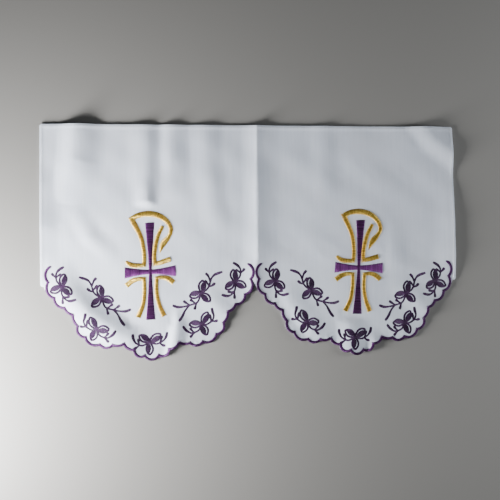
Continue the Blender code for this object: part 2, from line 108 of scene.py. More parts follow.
def side_vectors(points: np.ndarray, limit: float = 0.5) -> np.ndarray:
    """Finds the mitred vectors that point to the right of a line, one for each of its points.

    Args:
        points: The line's points.
        limit: How far a mitre may stretch, as the least cosine it divides by.

    Returns:
        The vectors, of length 1 where the line runs straight.
    """
    steps = np.diff(points, axis=0)
    steps /= np.linalg.norm(steps, axis=1)[:, None]
    rights = np.column_stack([steps[:, 1], -steps[:, 0]])
    before = np.vstack([rights[:1], rights])
    after = np.vstack([rights, rights[-1:]])
    middle = before + after
    middle /= np.linalg.norm(middle, axis=1)[:, None]
    stretch = np.maximum(np.sum(middle * before, axis=1), limit)
    return middle / stretch[:, None]


def smoothstep(share: np.ndarray) -> np.ndarray:
    """Eases a share from 0 to 1."""
    share = np.clip(share, 0, 1)
    return share * share * (3 - 2 * share)


def unevenness(points: np.ndarray, wavelength: float, seed: int) -> np.ndarray:
    """Sums waves of random directions into a soft, uneven field.

    Args:
        points: Places on the cloth.
        wavelength: The waves' middle length.
        seed: What fixes the waves.

    Returns:
        A value between about -1 and 1 at each place.
    """
    rng = np.random.default_rng(seed)
    total = np.zeros(len(points))
    waves = 7
    for _ in range(waves):
        angle, phase = rng.uniform(0, 2 * math.pi, 2)
        length = wavelength * rng.uniform(0.6, 1.6)
        along = points @ np.array([math.cos(angle), math.sin(angle)])
        total += np.sin(2 * math.pi * along / length + phase)
    return total / math.sqrt(2 * waves)


def arc_lengths(line: np.ndarray) -> np.ndarray:
    """Measures how far along a line each of its points lies."""
    return np.concatenate([[0], np.cumsum(np.hypot(*np.diff(line, axis=0).T))])


def index_points(points: np.ndarray) -> KDTree:
    """Indexes places on the cloth, so that the one nearest to any other place can be found.

    Args:
        points: The places.

    Returns:
        The index.
    """
    tree = KDTree(len(points))
    for number, (x, y) in enumerate(points):
        tree.insert((x, y, 0), number)
    tree.balance()
    return tree


def add_object(name: str, data: bpy.types.ID) -> bpy.types.Object:
    """Puts a mesh, a light or a camera into the scene.

    Args:
        name: The object's name.
        data: The mesh, light or camera.

    Returns:
        The object.
    """
    made = bpy.data.objects.new(name, data)
    bpy.context.scene.collection.objects.link(made)
    return made


@dataclass(frozen=True)
class Fold:
    """One fold of the cloth, in millimetres: a crest that rises off the surface between two flanks."""

    crest: Rows
    left: float
    right: float
    sharp: bool = False

    @property
    def line(self) -> np.ndarray:
        """The crest's rows in metres."""
        return np.array(self.crest) / MM

    def height(self, points: np.ndarray) -> np.ndarray:
        """Works out the fold's height.

        Args:
            points: Places on the cloth.

        Returns:
            The height at each place.
        """
        crest, left, right = self.line, self.left / MM, self.right / MM
        nearest = np.full(len(points), np.inf)
        share = np.ones(len(points))
        height = np.zeros(len(points))
        for start, end in zip(crest, crest[1:]):
            run = end[:2] - start[:2]
            along = np.clip((points - start[:2]) @ run / (run @ run), 0, 1)
            away = points - (start[:2] + along[:, None] * run)
            distance = np.hypot(away[:, 0], away[:, 1])
            to_left = run[0] * away[:, 1] - run[1] * away[:, 0] > 0
            closer = distance < nearest
            nearest = np.where(closer, distance, nearest)
            share = np.where(closer, distance / np.where(to_left, left, right), share)
            height = np.where(closer, start[2] + along * (end[2] - start[2]), height)
        return height * self._profile(np.clip(share, 0, 1))

    def _profile(self, share: np.ndarray) -> np.ndarray:
        """Shapes the fold's flanks.

        Args:
            share: How far from the crest to the foot of the flank each place lies.

        Returns:
            The height at each place, as a share of the crest's.
        """
        if self.sharp:
            return (1 - share) ** CREASE_POWER
        return (0.5 + 0.5 * np.cos(math.pi * share)) ** ROLL_POWER


# Each crest's rows: millimetres along and across the cloth, and the fold's height there.
FOLDS = {
    "middle crease": Fold(
        ((7.2, 230, 5), (6.8, 130, 5.4), (6.4, 90, 6.6), (6, 55, 5.4), (5.5, -30, 5.2), (0.8, -52, 5),
         (0, -95, 4.4)), left=50, right=32, sharp=True),
    "back left roll": Fold(((-318, 235, 8), (-323, 150, 8), (-345, 70, 0)), left=58, right=40),
    "left of trough": Fold(
        ((-197, 235, 3), (-197, 150, 3.2), (-197, 105, 2.8), (-197, 68, 0)), left=28, right=42),
    "trough end": Fold(((-197, 126, 0), (-197, 96, 4.4), (-196, 68, 6)), left=24, right=32),
    "right of trough": Fold(((-151, 235, 3), (-151, 150, 2.8), (-152, 75, 0)), left=40, right=24),
    "shoulder swell": Fold(
        ((-84, 235, 2.2), (-87, 160, 2.6), (-78, 80, 2.6), (-58, -15, 0)), left=38, right=38),
    "left shoulder swell": Fold(((-335, 75, 0), (-298, 10, 2.8), (-248, -32, 0)), left=30, right=26),
    "left lobe roll": Fold(
        ((-366, -40, 0), (-340, -88, 6.8), (-302, -131, 8.6), (-256, -161, 8.6), (-228, -178, 5.6),
         (-198, -190, 0)), left=43, right=46),
    "left lobe flute": Fold(((-122, -74, 0), (-83, -106, 2.2), (-35, -148, 3.6)), left=34, right=32),
    "left tip flute": Fold(((-152, -118, 0), (-144, -155, 4.2), (-154, -214, 5.2)), left=26, right=20),
    "left side lift": Fold(
        ((-392, 190, 0), (-390, 110, 3.4), (-388, 30, 5.2), (-388, -60, 0)), left=42, right=30),
    "right lobe roll": Fold(
        ((46, -66, 0), (68, -118, 2), (108, -166, 3.2), (148, -188, 0)), left=40, right=22),
    "right lobe flute": Fold(((254, -70, 0), (295, -102, 3), (345, -146, 4.4)), left=36, right=32),
    "under right emblem": Fold(((172, -116, 0), (178, -156, 3.2), (180, -205, 5.2)), left=42, right=34),
    "right tip flute": Fold(((216, -168, 0), (226, -192, 3.6), (223, -216, 4.2)), left=20, right=18),
    "right back swell": Fold(((134, 235, 1.8), (135, 150, 2), (138, 60, 0)), left=36, right=38),
    "right emblem swell": Fold(
        ((262, 45, 0), (270, -8, 1.3), (272, -45, 1.2), (266, -78, 0)), left=32, right=40),
    "right corner roll": Fold(((318, 235, 6), (350, 192, 6.6), (404, 150, 5.8)), left=40, right=38),
    "right side lift": Fold(
        ((392, 110, 0), (390, 40, 4.8), (388, -20, 4.4), (388, -80, 0)), left=30, right=50),
}


@dataclass(frozen=True)
class EmblemPlace:
    """Where an emblem's crossing sits on its lobe, and how it is turned."""

    side: Side
    across: float
    drop: float
    turn: float
    arm_rise: float = 0.030


PLACES = (
    EmblemPlace(Side.LEFT, across=-0.0012, drop=0.0134, turn=math.radians(0.1)),
    EmblemPlace(Side.RIGHT, across=0.0073, drop=0.0114, turn=math.radians(-3.4)),
)


@dataclass
class ClothShape:
    """The cut and the lie of the cloth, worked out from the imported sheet's box.

    A flat zone is half its width and its reach below and above an emblem's crossing. A cusp is its place
    beside the lobe's axis and below the shoulder, and the bulge of the scallop next to it as a share.
    """

    pitch: float = 0.380
    back_depth: float = 0.256
    thickness: float = 0.0014
    notch_depth: float = 0.037
    corner_cut: float = 0.003
    edge_beyond_line: float = 0.0030
    hem_width: float = 0.0055
    hem_slope: float = 0.0012
    hem_rise: float = 0.0005
    flat_zones: Rows = ((48.5, 31, 114), (34.5, 88.5, -31))
    flat_fade: float = 0.016
    cusps: Rows = (
        (12.4, 163.5, 0.33), (30, 152.8, 0.36), (49, 140.6, 0.19), (69.5, 142.6, 0.15),
        (92, 141.3, 0.28), (117, 128.2, 0.26), (129.5, 108.2, 0.30), (138, 87.3, 0.14),
        (153, 74.6, 0.16), (170.5, 57.3, 0.25), (181.2, 29.5, 0.27), (176.5, 1.5, 0.27),
    )
    side_x: float = field(init=False)
    back_y: float = field(init=False)
    shoulder_y: float = field(init=False)

    def __post_init__(self) -> None:
        """Reads the sheet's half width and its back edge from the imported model."""
        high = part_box("cloth")[1]
        self.side_x, self.back_y = float(high[0]), float(high[1])
        self.shoulder_y = self.back_y - self.back_depth

    def on_cloth(self, points: np.ndarray, side: Side) -> np.ndarray:
        """Moves places measured from a lobe's axis and shoulder to the cloth."""
        return points + np.array([side.value * self.pitch / 2, self.shoulder_y])

    def scallop_line(self, steps: int) -> np.ndarray:
        """Draws the middle of a lobe's edging, from its left hook round the tip to its right hook.

        Args:
            steps: Stretches on each scallop.

        Returns:
            The line's points, from the lobe's axis and shoulder.
        """
        table = np.array(self.cusps)
        right = table[:, :2] / MM * (1, -1)
        corners = np.vstack([(right * (-1, 1))[::-1], right])
        bulges = np.concatenate([table[::-1, 2][:-1], table[:, 2]])
        line = [self._arc(a, b, bulge, steps) for a, b, bulge in zip(corners, corners[1:], bulges)]
        return np.vstack(line + [corners[-1:]])

    def _arc(self, start: np.ndarray, end: np.ndarray, bulge: float, steps: int) -> np.ndarray:
        """Draws one scallop.

        Args:
            start: Its first cusp.
            end: Its second cusp.
            bulge: How far it bulges to the right of its chord, as a share of the chord.
            steps: Stretches on it.

        Returns:
            Its points, the second cusp left out.
        """
        chord = end - start
        length = float(np.hypot(*chord))
        height = bulge * length
        radius = (length * length / 4 + height * height) / (2 * height)
        outward = np.array([chord[1], -chord[0]]) / length
        centre = (start + end) / 2 + outward * (height - radius)
        first = math.atan2(*(start - centre)[::-1])
        last = math.atan2(*(end - centre)[::-1])
        last += 2 * math.pi * (last < first)
        angles = np.linspace(first, last, steps + 1)[:-1]
        return centre + radius * np.column_stack([np.cos(angles), np.sin(angles)])

    def outline(self, steps: int, spacing: float) -> np.ndarray:
        """Draws the edge of the sheet, anticlockwise.

        Args:
            steps: Stretches on each scallop, an even number.
            spacing: Spacing of the points along the straight edges.

        Returns:
            The edge's points.
        """
        line = self.scallop_line(steps)
        edge = line + side_vectors(line) * self.edge_beyond_line
        half = steps + steps // 2
        scallops = edge[half:len(line) - half]
        notch, cut = self.shoulder_y - self.notch_depth, self.corner_cut
        corner = np.array([
            (-self.side_x, notch + cut),
            (-self.side_x + cut / 2, notch + cut / 4),
            (-self.side_x + 2 * cut, notch - cut / 4),
        ])
        back = np.array([
            (self.side_x, self.back_y - cut), (self.side_x - cut, self.back_y),
            (cut - self.side_x, self.back_y), (-self.side_x, self.back_y - cut),
        ])
        corners = np.vstack([
            corner, self.on_cloth(scallops, Side.LEFT), [(0.0, notch)],
            self.on_cloth(scallops, Side.RIGHT), (corner * (-1, 1))[::-1], back,
        ])
        points = []
        for a, b in zip(corners, np.roll(corners, -1, axis=0)):
            count = max(1, round(float(np.hypot(*(b - a))) / spacing))
            points.append(a + (b - a) * (np.arange(count) / count)[:, None])
        return np.vstack(points)

    def fold_room(self, points: np.ndarray) -> np.ndarray:
        """Says how fully the folds rise: 0 on the flat cloth of each emblem, 1 away from it.

        Args:
            points: Places on the cloth.

        Returns:
            The share at each place.
        """
        room = np.ones(len(points))
        for place in PLACES:
            crossing = self.on_cloth(np.array([place.across, -place.drop]), place.side)
            across, along = (points - crossing).T
            distance = np.full(len(points), np.inf)
            for half_width, below, above in np.array(self.flat_zones) / MM:
                beyond_x = np.maximum(np.abs(across) - half_width, 0)
                beyond_y = np.maximum(np.maximum(-below - along, along - above), 0)
                distance = np.minimum(distance, np.hypot(beyond_x, beyond_y))
            room *= smoothstep(distance / self.flat_fade)
        return room

    def underside(self, points: np.ndarray) -> np.ndarray:
        """How high the sheet's underside lies above the surface at places on the cloth."""
        squares = sum(fold.height(points) ** 2 for fold in FOLDS.values())
        return np.sqrt(squares) * self.fold_room(points)

    def hem(self, points: np.ndarray) -> np.ndarray:
        """How much the doubled hem raises the sheet's top at places on the cloth."""
        inset = np.minimum(self.side_x - np.abs(points[:, 0]), self.back_y - points[:, 1])
        return self.hem_rise * smoothstep((self.hem_width + self.hem_slope - inset) / self.hem_slope)


@dataclass
class Relief:
    """The fine relief of the sheet's top: soft creases, puckers at the scallops and a rounded rim."""

    shape: ClothShape
    crease_rise: float = 0.0012
    crease_length: float = 0.075
    pucker_rise: float = 0.0007
    pucker_reach: float = 0.016
    pucker_length: float = 0.0135
    pucker_patch: float = 0.05
    pucker_uneven: float = 0.4
    pucker_start: float = 0.2
    rim_width: float = 0.0009
    rim_drop: float = 0.0006
    seed: int = 11
    edging_tree: KDTree = field(init=False)
    edging_arc: np.ndarray = field(init=False)

    def __post_init__(self) -> None:
        """Indexes the edgings' lines, so that the puckers can follow them."""
        line = self.shape.scallop_line(EDGING_STEPS)
        arc = arc_lengths(line)
        self.edging_arc = np.concatenate([arc, arc + 1])
        self.edging_tree = index_points(np.vstack([self.shape.on_cloth(line, side) for side in Side]))

    def pucker(self, points: np.ndarray) -> np.ndarray:
        """Works out the small ridges that the dense edging draws into the cloth beside it.

        Args:
            points: Places on the cloth.

        Returns:
            The rise at each place.
        """
        found = [self.edging_tree.find((x, y, 0))[1:] for x, y in points]
        numbers = np.array([number for number, _ in found])
        reach = np.array([distance for _, distance in found]) / self.pucker_reach
        wave = 0.5 + 0.5 * np.sin(2 * math.pi * self.edging_arc[numbers] / self.pucker_length)
        change = unevenness(points, self.pucker_patch, self.seed + 1)
        uneven = 1 - self.pucker_uneven + self.pucker_uneven * change
        fade = np.clip(reach / self.pucker_start, 0, 1) * (1 - smoothstep(reach))
        return self.pucker_rise * wave * uneven * fade

    def bed(self, points: np.ndarray) -> np.ndarray:
        """The height of the sheet's top, where threads lie, at places on the cloth."""
        sheet = self.shape.underside(points) + self.shape.thickness + self.shape.hem(points)
        return sheet + self.pucker(points) + self.soft_creases(points)

    def soft_creases(self, points: np.ndarray) -> np.ndarray:
        """The rise, never below 0, of the shallow creases of cloth that has been smoothed out."""
        wide = unevenness(points, self.crease_length, self.seed)
        return self.crease_rise * np.clip(0.5 + 0.5 * wide, 0, 1)


class NodeBuilder:
    """Adds nodes to a tree and joins them."""

    def __init__(self, tree: bpy.types.NodeTree) -> None:
        """Takes the tree to build in."""
        self.tree = tree

    def node(self, kind: str, settings: dict | None = None, inputs: dict | None = None) -> bpy.types.Node:
        """Adds a node.

        Args:
            kind: The node's type.
            settings: Its properties by name.
            inputs: Values or source sockets by input name or number.

        Returns:
            The node.
        """
        made = self.tree.nodes.new(kind)
        for name, value in (settings or {}).items():
            setattr(made, name, value)
        self.feed(made, inputs or {})
        return made

    def feed(self, node: bpy.types.Node, inputs: dict) -> None:
        """Sets or joins a node's inputs.

        Args:
            node: The node.
            inputs: Values or source sockets by input name or number.
        """
        for key, value in inputs.items():
            if isinstance(value, bpy.types.NodeSocket):
                self.tree.links.new(value, node.inputs[key])
            else:
                node.inputs[key].default_value = value


class Finish(NodeBuilder):
    """A procedural material, built once and shared by the pieces that wear it."""

    def __init__(self, name: str) -> None:
        """Starts the material with its plain shader.

        Args:
            name: The material's name.
        """
        self.material = bpy.data.materials.new(name)
        self.material.use_nodes = True
        super().__init__(self.material.node_tree)
        self.shader = self.tree.nodes["Principled BSDF"]

    def ramp(self, source: bpy.types.NodeSocket, low: Colour, high: Colour,
             start: float = 0.0) -> bpy.types.NodeSocket:
        """Maps a grey value to a run between two colours.

        Args:
            source: The grey value.
            low: The colour at the start.
            high: The colour at 1.
            start: Where the run starts.

        Returns:
            The colour socket.
        """
        made = self.node("ShaderNodeValToRGB", inputs={"Fac": source})
        first, last = made.color_ramp.elements
        first.position, last.position = start, 1.0
        first.color, last.color = (*low, 1), (*high, 1)
        return made.outputs["Color"]

    def bump(self, height: bpy.types.NodeSocket, strength: float, distance: float,
             under: bpy.types.NodeSocket | None = None) -> bpy.types.NodeSocket:
        """Adds a bump.

        Args:
            height: The height field.
            strength: How strongly it shows.
            distance: The field's real height.
            under: A bump that it adds to.

        Returns:
            The normal socket.
        """
        inputs = {"Height": height, "Strength": strength, "Distance": distance}
        if under is not None:
            inputs["Normal"] = under
        return self.node("ShaderNodeBump", inputs=inputs).outputs["Normal"]


@dataclass(frozen=True)
class WhiteCloth:
    """Smooth white cloth with a fine weave, faint slubs and a soft sheen."""

    white: Colour = (0.76, 0.795, 0.875)
    shade: Colour = (0.68, 0.722, 0.81)
    shade_until: float = 0.58
    cloud_scale: float = 9.0
    slub_scale: Place = (250.0, 13.0, 60.0)
    slub_share: float = 0.70
    slub_strength: float = 0.42
    slub_depth: float = 0.00025
    yarn: float = 0.0009
    yarn_waver: float = 0.6
    weave_strength: float = 0.25
    weave_depth: float = 0.00012
    roughness: float = 0.46
    specular: float = 0.35
    sheen: float = 0.25
    sheen_roughness: float = 0.45

    def material(self) -> bpy.types.Material:
        """Builds the material.

        Returns:
            The material.
        """
        finish = Finish("white_cloth")
        place = finish.node("ShaderNodeTexCoord").outputs["Object"]
        clouds = finish.node("ShaderNodeTexNoise",
                             inputs={"Vector": place, "Scale": self.cloud_scale, "Detail": 3.0})
        drawn = finish.node("ShaderNodeMapping", inputs={"Vector": place, "Scale": self.slub_scale})
        slubs = finish.node("ShaderNodeTexNoise",
                            inputs={"Vector": drawn.outputs[0], "Scale": 1.0, "Detail": 2.0})
        warp, weft = (self._yarns(finish, place, direction) for direction in "XY")
        weave = finish.node("ShaderNodeMath", {"operation": "MAXIMUM"}, {0: warp, 1: weft})
        blend = finish.node("ShaderNodeMath", {"operation": "MULTIPLY_ADD"},
                            {0: slubs.outputs["Fac"], 1: self.slub_share, 2: clouds.outputs["Fac"]})
        colour = finish.ramp(blend.outputs[0], self.shade, self.white, self.shade_until)
        fine = finish.bump(weave.outputs[0], self.weave_strength, self.weave_depth)
        finish.feed(finish.shader, {
            "Base Color": colour,
            "Normal": finish.bump(slubs.outputs["Fac"], self.slub_strength, self.slub_depth, fine),
            "Roughness": self.roughness,
            "Specular IOR Level": self.specular,
            "Sheen Weight": self.sheen,
            "Sheen Roughness": self.sheen_roughness,
        })
        return finish.material

    def _yarns(self, finish: Finish, place: bpy.types.NodeSocket, direction: str) -> bpy.types.NodeSocket:
        """Adds the yarns of one direction of the weave.

        Args:
            finish: The material being built.
            place: Object coordinates.
            direction: X or Y, across the yarns.

        Returns:
            The yarns' height.
        """
        yarns = finish.node(
            "ShaderNodeTexWave", {"bands_direction": direction},
            {"Vector": place, "Scale": 1 / (self.yarn * WAVE_TURNS), "Distortion": self.yarn_waver,
             "Detail": 1.0, "Detail Scale": 2.0},
        )
        return yarns.outputs["Fac"]


@dataclass(frozen=True)
class EmbroideryThread:
    """Glossy twisted embroidery thread, which varies a little from stitch to stitch."""

    name: str
    dark: Colour
    light: Colour
    roughness: float = 0.37
    lustre: float = 0.60
    specular: float = 0.25
    sheen: float = 0.05
    sheen_roughness: float = 0.4
    ply_turns: float = 3.2
    ply_waver: float = 0.4
    ply_strength: float = 0.35
    ply_depth: float = 0.00008

    def material(self) -> bpy.types.Material:
        """Builds the material.

        Returns:
            The material.
        """
        finish = Finish(self.name)
        stitch = finish.node("ShaderNodeAttribute", {"attribute_name": "shade"})
        strand = finish.node("ShaderNodeAttribute", {"attribute_name": "strand"})
        ply = finish.node(
            "ShaderNodeTexWave", {"bands_direction": "DIAGONAL"},
            {"Vector": strand.outputs["Vector"], "Scale": self.ply_turns, "Distortion": self.ply_waver},
        )
        finish.feed(finish.shader, {
            "Base Color": finish.ramp(stitch.outputs["Fac"], self.dark, self.light),
            "Normal": finish.bump(ply.outputs["Fac"], self.ply_strength, self.ply_depth),
            "Roughness": self.roughness,
            "Metallic": self.lustre,
            "Specular IOR Level": self.specular,
            "Sheen Weight": self.sheen,
            "Sheen Roughness": self.sheen_roughness,
        })
        return finish.material


CROSS_THREAD = EmbroideryThread("purple_thread", (0.084, 0.018, 0.096), (0.240, 0.058, 0.262), lustre=0.86)
EDGING_THREAD = EmbroideryThread("edging_thread", (0.050, 0.013, 0.060), (0.115, 0.032, 0.138), lustre=0.45)
TWIG_THREAD = EmbroideryThread("twig_thread", (0.017, 0.005, 0.022), (0.044, 0.012, 0.055),
                               roughness=0.56, lustre=0.36)
GOLD_THREAD = EmbroideryThread("gold_thread", (0.58, 0.315, 0.040), (1.0, 0.75, 0.155), lustre=0.86)
HEM_THREAD = EmbroideryThread("white_thread", (0.74, 0.75, 0.78), (0.84, 0.85, 0.88))


@dataclass(frozen=True)
class StitchStyle:
    """How a run of stitches is sewn: their spacing, thickness and padding."""

    pitch: float
    thread: float
    crown: float
    crown_limit: float
    uneven: float = 0.05
    seed: int = 3


class StitchTree(NodeBuilder):
    """The node tree that lays one arched thread across a path for every stitch."""

    INPUTS = (
        ("Pitch", "NodeSocketFloat"),
        ("Thread", "NodeSocketFloat"),
        ("Crown", "NodeSocketFloat"),
        ("Crown Limit", "NodeSocketFloat"),
        ("Uneven", "NodeSocketFloat"),
        ("Seed", "NodeSocketInt"),
        ("Finish", "NodeSocketMaterial"),
    )
    THREAD_SIDES = 4
    THREAD_LENGTHS = 6
    ARCH_POWER = 0.42
    FLATNESS = 0.34

    def __init__(self) -> None:
        """Builds the tree."""
        super().__init__(bpy.data.node_groups.new("satin_stitches", "GeometryNodeTree"))
        face = self.tree.interface
        face.new_socket(name="Geometry", in_out="INPUT", socket_type="NodeSocketGeometry")
        self.identifiers = {
            name: face.new_socket(name=name, in_out="INPUT", socket_type=kind).identifier
            for name, kind in self.INPUTS
        }
        face.new_socket(name="Geometry", in_out="OUTPUT", socket_type="NodeSocketGeometry")
        self.given = self.node("NodeGroupInput")
        self._finish_stitches(self._instances(self._thread()))

    def _math(self, operation: str, *values: "bpy.types.NodeSocket | float") -> bpy.types.NodeSocket:
        """Adds a number operation on values or sockets, and returns its result."""
        return self.node("ShaderNodeMath", {"operation": operation}, dict(enumerate(values))).outputs[0]

    def _random(self, low: "bpy.types.NodeSocket | float", high: "bpy.types.NodeSocket | float",
                step: int) -> bpy.types.NodeSocket:
        """Adds a random number for each stitch.

        Args:
            low: The least value.
            high: The greatest value.
            step: What sets this draw apart from the others.

        Returns:
            The number's socket.
        """
        seed = self._math("ADD", self.given.outputs["Seed"], float(step))
        made = self.node("FunctionNodeRandomValue", {"data_type": "FLOAT"},
                         {"Min": low, "Max": high, "Seed": seed})
        return next(socket for socket in made.outputs if socket.enabled)

    def _thread(self) -> bpy.types.NodeSocket:
        """Builds one arched thread, 2 long, 2 wide and 1 high.

        Returns:
            The thread's geometry.
        """
        rod = self.node(
            "GeometryNodeMeshCylinder", {"fill_type": "NGON"},
            {"Vertices": self.THREAD_SIDES, "Side Segments": self.THREAD_LENGTHS, "Radius": 1.0,
             "Depth": 2.0},
        )
        laid = self.node("GeometryNodeTransform", inputs={
            "Geometry": rod.outputs["Mesh"], "Rotation": (0.0, math.pi / 2, 0.0)})
        position = self.node("GeometryNodeInputPosition").outputs[0]
        at = self.node("ShaderNodeSeparateXYZ", inputs={0: position})
        along = self._math("SINE", self._math("MULTIPLY", at.outputs[0], math.pi / 2))
        left_over = self._math("SUBTRACT", 1.0, self._math("MULTIPLY", along, along))
        arch = self._math("POWER", self._math("MAXIMUM", left_over, 0.0), self.ARCH_POWER)
        high = self._math("MULTIPLY_ADD", at.outputs[2], self.FLATNESS, arch)
        bent = self.node("ShaderNodeCombineXYZ", inputs={0: along, 1: at.outputs[1], 2: high})
        bow = self.node("GeometryNodeSetPosition",
                        inputs={"Geometry": laid.outputs[0], "Position": bent.outputs[0]})
        named = self.node(
            "GeometryNodeStoreNamedAttribute", {"data_type": "FLOAT_VECTOR", "domain": "POINT"},
            {"Geometry": bow.outputs[0], "Name": "strand", "Value": position},
        )
        return named.outputs[0]

    def _instances(self, thread: bpy.types.NodeSocket) -> bpy.types.NodeSocket:
        """Lays the thread across the path at every pitch.

        Args:
            thread: The thread's geometry.

        Returns:
            The stitches, as instances.
        """
        path = self.node("GeometryNodeMeshToCurve", inputs={"Mesh": self.given.outputs["Geometry"]})
        points = self.node("GeometryNodeCurveToPoints", {"mode": "LENGTH"},
                           {"Curve": path.outputs[0], "Length": self.given.outputs["Pitch"]})
        across = self.node("GeometryNodeInputNamedAttribute", {"data_type": "FLOAT_VECTOR"},
                           {"Name": "across"}).outputs[0]
        reach = self.node("ShaderNodeVectorMath", {"operation": "LENGTH"}, {0: across}).outputs["Value"]
        uneven = self.given.outputs["Uneven"]
        less = self._math("MULTIPLY", uneven, -1.0)
        slant = self._math("MULTIPLY", reach, self._random(less, uneven, 1))
        lean = self.node("ShaderNodeVectorMath", {"operation": "SCALE"},
                         {0: points.outputs["Tangent"], "Scale": slant})
        leant = self.node("ShaderNodeVectorMath", {"operation": "ADD"}, {0: across, 1: lean.outputs[0]})
        turned = self.node("FunctionNodeAlignRotationToVector", {"axis": "X", "pivot_axis": "Z"},
                           {"Vector": leant.outputs[0]})
        length = self._math("MULTIPLY", reach, self._math("ADD", self._random(less, uneven, 2), 1.0))
        padding = self._math("MULTIPLY", reach, self.given.outputs["Crown"])
        crown = self._math("MINIMUM", padding, self.given.outputs["Crown Limit"])
        raised = self._math("MULTIPLY", crown, self._math("ADD", self._random(less, uneven, 3), 1.0))
        scale = self.node("ShaderNodeCombineXYZ",
                          inputs={0: length, 1: self.given.outputs["Thread"], 2: raised})
        stitches = self.node("GeometryNodeInstanceOnPoints", inputs={
            "Points": points.outputs["Points"], "Instance": thread,
            "Rotation": turned.outputs[0], "Scale": scale.outputs[0],
        })
        shaded = self.node(
            "GeometryNodeStoreNamedAttribute", {"data_type": "FLOAT", "domain": "INSTANCE"},
            {"Geometry": stitches.outputs[0], "Name": "shade", "Value": self._random(0.0, 1.0, 4)},
        )
        return shaded.outputs[0]

    def _finish_stitches(self, stitches: bpy.types.NodeSocket) -> None:
        """Makes the stitches one mesh and gives it its finish.

        Args:
            stitches: The stitches, as instances.
        """
        real = self.node("GeometryNodeRealizeInstances", inputs={0: stitches})
        smooth = self.node("GeometryNodeSetShadeSmooth", inputs={0: real.outputs[0]})
        dressed = self.node("GeometryNodeSetMaterial", inputs={
            "Geometry": smooth.outputs[0], "Material": self.given.outputs["Finish"]})
        self.node("NodeGroupOutput", inputs={0: dressed.outputs[0]})


@dataclass
class Path:
    """A run that stitches cross: its points, and the half stitch from the path to its right end."""

    points: np.ndarray
    across: np.ndarray

    @classmethod
    def band(cls, points: np.ndarray, half_width: "np.ndarray | float") -> "Path":
        """Makes a path, of one half width or one for each point, with stitches square across it."""
        return cls(points, side_vectors(points) * np.broadcast_to(half_width, len(points))[:, None])


@dataclass
class Needle:
    """Sews paths onto the cloth, as meshes of real threads."""

    relief: Relief
    tree: StitchTree = field(default_factory=StitchTree)
    sink: float = 0.00012

    def sew(self, name: str, paths: list[Path], style: StitchStyle,
            finish: bpy.types.Material) -> bpy.types.Object:
        """Lays a thread across the paths for every stitch and seats it on the cloth.

        Args:
            name: The piece's name.
            paths: The paths, on the cloth.
            style: How they are sewn.
            finish: The thread's material.

        Returns:
            The piece, as a plain mesh in place.
        """
        guide = add_object(f"{name}_paths", self._path_mesh(name, paths))
        modifier = guide.modifiers.new("stitches", "NODES")
        modifier.node_group = self.tree.tree
        values = {
            "Pitch": style.pitch, "Thread": style.thread, "Crown": style.crown,
            "Crown Limit": style.crown_limit, "Uneven": style.uneven, "Seed": style.seed,
            "Finish": finish,
        }
        for key, value in values.items():
            modifier[self.tree.identifiers[key]] = value
        seen = guide.evaluated_get(bpy.context.evaluated_depsgraph_get())
        mesh = bpy.data.meshes.new_from_object(seen)
        bpy.data.objects.remove(guide, do_unlink=True)
        mesh.name = name
        self._seat(mesh)
        return add_object(name, mesh)

    def _path_mesh(self, name: str, paths: list[Path]) -> bpy.types.Mesh:
        """Joins paths into one mesh of edges that carries their half stitches.

        Args:
            name: The piece's name.
            paths: The paths.

        Returns:
            The mesh.
        """
        points = np.vstack([path.points for path in paths])
        across = np.vstack([path.across for path in paths])
        edges, start = [], 0
        for path in paths:
            edges += [(start + i, start + i + 1) for i in range(len(path.points) - 1)]
            start += len(path.points)
        mesh = bpy.data.meshes.new(f"{name}_paths")
        mesh.from_pydata([(x, y, 0.0) for x, y in points], edges, [])
        attribute = mesh.attributes.new("across", "FLOAT_VECTOR", "POINT")
        attribute.data.foreach_set("vector", np.column_stack([across, np.zeros(len(across))]).ravel())
        return mesh

    def _seat(self, mesh: bpy.types.Mesh) -> None:
        """Lowers flat stitches onto the cloth beneath each of their points.

        Args:
            mesh: The stitches.
        """
        places = np.empty(len(mesh.vertices) * 3)
        mesh.vertices.foreach_get("co", places)
        places = places.reshape(-1, 3)
        places[:, 2] += self.relief.bed(places[:, :2]) - self.sink
        mesh.vertices.foreach_set("co", places.ravel())
        mesh.update()


